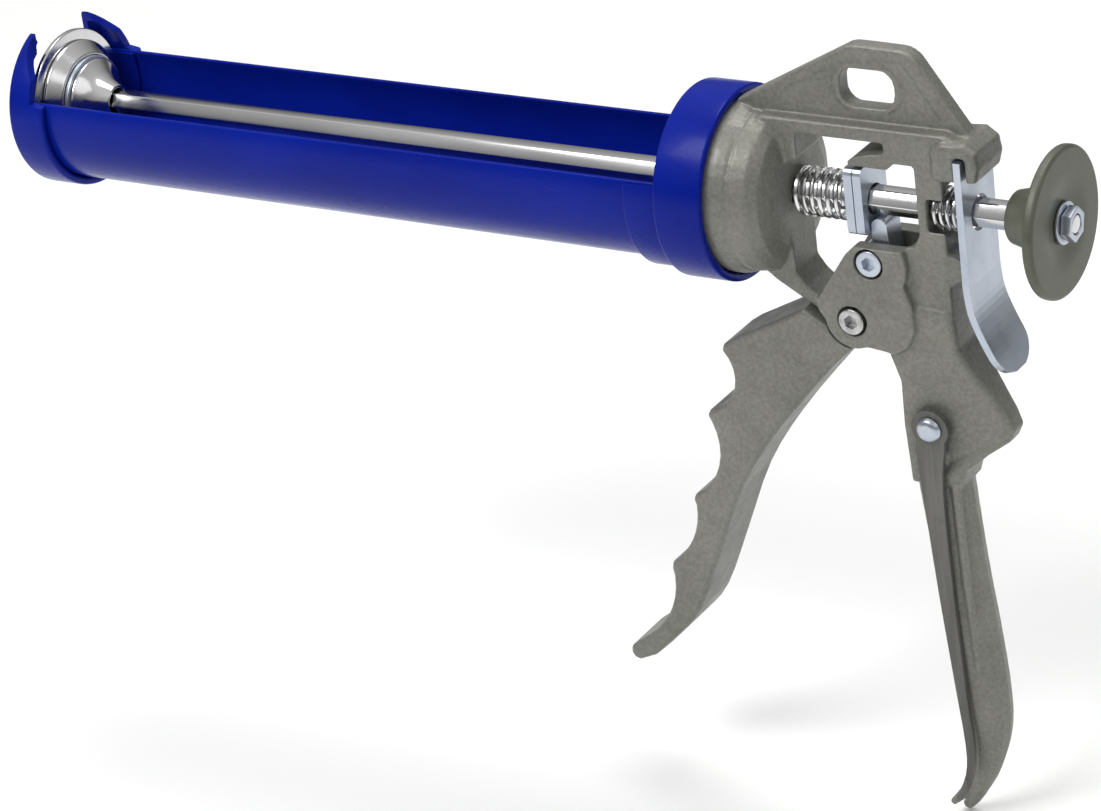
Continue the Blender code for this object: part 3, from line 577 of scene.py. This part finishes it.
def squeezed_coil(name, start, end, radius, wire, turns):
    """A coil between start and end, in mm, that rides on its CAD node's body."""
    coil = new_piece(coil_mesh(name, start, end, radius, wire, turns), name, name.replace(" ", "_"))
    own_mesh(coil)


def sheet_pieces():
    bevels = {"drive_plate_front": 0.35, "drive_plate_rear": 0.35, "drive_cam": 0.3, "release_lever": 0.45,
              "seal_piercer": 0.25}
    for name, bevel in bevels.items():
        new_piece(worked(copy_mesh(name), name, bevel=bevel), name.replace("_", " "), name)
    squeezed_coil("drive spring", 283.8, 303.2, 7.1, 0.75, 6.5)
    squeezed_coil("release spring", 330.8, 342.1, 6.3, 0.6, 4.5)


cradle()
front_cap()
collar()
snap_ring()
rod_group()
frame_casting()
trigger()
screws()
sheet_pieces()


# ---------------------------------------------------------------- floor, light and camera
def studio():
    scene = bpy.context.scene
    floor_mesh = bpy.data.meshes.new("floor")
    half = 40  # metres
    floor_mesh.from_pydata([(-half, -half, 0), (half, -half, 0), (half, half, 0), (-half, half, 0)], [], [(0, 1, 2, 3)])
    floor = bpy.data.objects.new("floor", floor_mesh)
    scene.collection.objects.link(floor)
    floor.location.z = cad_box[0][2] - 0.0005
    pale = bpy.data.materials.new("pale floor")
    pale.use_nodes = True
    shader = pale.node_tree.nodes["Principled BSDF"]
    shader.inputs["Base Color"].default_value = (0.93, 0.93, 0.92, 1.0)
    shader.inputs["Roughness"].default_value = 0.8
    floor_mesh.materials.append(pale)

    world = bpy.data.worlds.new("studio")
    scene.world = world
    world.use_nodes = True
    tree = world.node_tree
    direction = node(tree, "ShaderNodeTexCoord").outputs["Generated"]
    split = node(tree, "ShaderNodeSeparateXYZ")
    tree.links.new(direction, split.inputs["Vector"])
    sky = ramp(tree, split.outputs["Z"], [(0.0, grey(0.30)), (0.12, grey(0.12)), (0.30, grey(0.45)), (0.8, grey(1.0))])
    tree.links.new(sky, tree.nodes["Background"].inputs["Color"])
    tree.nodes["Background"].inputs["Strength"].default_value = 0.68

    def softbox(name, place, target, size, power):
        lamp = bpy.data.lights.new(name, "AREA")
        lamp.shape, lamp.size, lamp.size_y, lamp.energy = "RECTANGLE", size[0], size[1], power
        thing = bpy.data.objects.new(name, lamp)
        scene.collection.objects.link(thing)
        thing.location = place
        thing.rotation_euler = (Vector(target) - Vector(place)).to_track_quat("-Z", "Y").to_euler()

    middle = (0.2, 0.0, -0.05)
    softbox("key", (-0.3, -1.1, 1.5), middle, (1.0, 0.8), 22.0)
    softbox("top", (0.3, 0.5, 1.6), middle, (1.4, 0.6), 13.0)
    softbox("rear fill", (1.5, -0.2, 0.8), middle, (0.8, 0.8), 1.5)

    azimuth, elevation, roll = math.radians(35.1), math.radians(25.85), math.radians(-7.65)
    right = Vector((math.cos(azimuth), math.sin(azimuth), 0.0))
    ahead = Vector((-math.sin(azimuth) * math.cos(elevation), math.cos(azimuth) * math.cos(elevation),
                    -math.sin(elevation)))
    up = right.cross(ahead)
    tilted_right = right * math.cos(roll) + up * math.sin(roll)
    tilted_up = up * math.cos(roll) - right * math.sin(roll)
    lens = bpy.data.cameras.new("camera")
    lens.sensor_fit, lens.sensor_width, lens.lens = "HORIZONTAL", 36.0, 132.76
    lens.clip_end = 200.0
    camera = bpy.data.objects.new("camera", lens)
    scene.collection.objects.link(camera)
    turn = Matrix((tilted_right, tilted_up, -ahead)).transposed().to_4x4()
    camera.matrix_world = Matrix.Translation((0.8717, -0.9841, 0.4922)) @ turn
    scene.camera = camera
    scene.view_settings.view_transform = "Standard"
    scene.view_settings.exposure = 0.0


studio()
